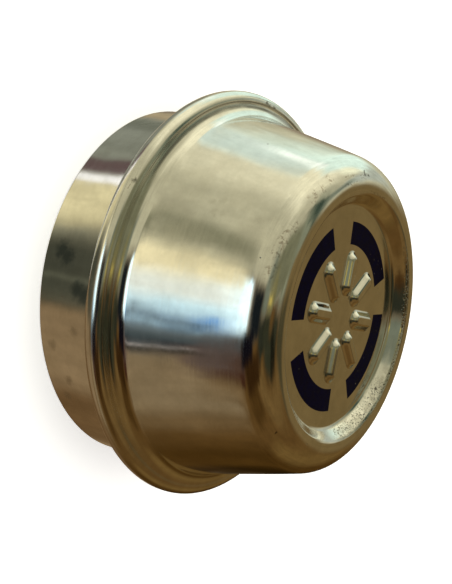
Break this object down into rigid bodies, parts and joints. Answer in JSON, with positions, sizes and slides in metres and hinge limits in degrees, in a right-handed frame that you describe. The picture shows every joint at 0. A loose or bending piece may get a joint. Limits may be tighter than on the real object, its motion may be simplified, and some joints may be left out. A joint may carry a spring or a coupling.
{
  "type": "hub grease cap",
  "caption": "Pressed sheet-steel cap that closes a wheel hub and keeps its bearing grease in, with a plain press-in skirt, a folded bead, a tapered body and a dished round face.",
  "frame": {"origin": "centre of the open mouth, in the plane of the mouth's rim that the cap stands on", "axes": "+Z along the cap's own axis, from the open mouth towards the dished face"},
  "size_m": [0.0628, 0.0628, 0.0351],
  "materials": {
    "plated_steel": "bright plated, glossy, with small pits and scuffs"
  },
  "bodies": {
    "root": {"grease_cap": "plated_steel"}
  },
  "joints": []
}
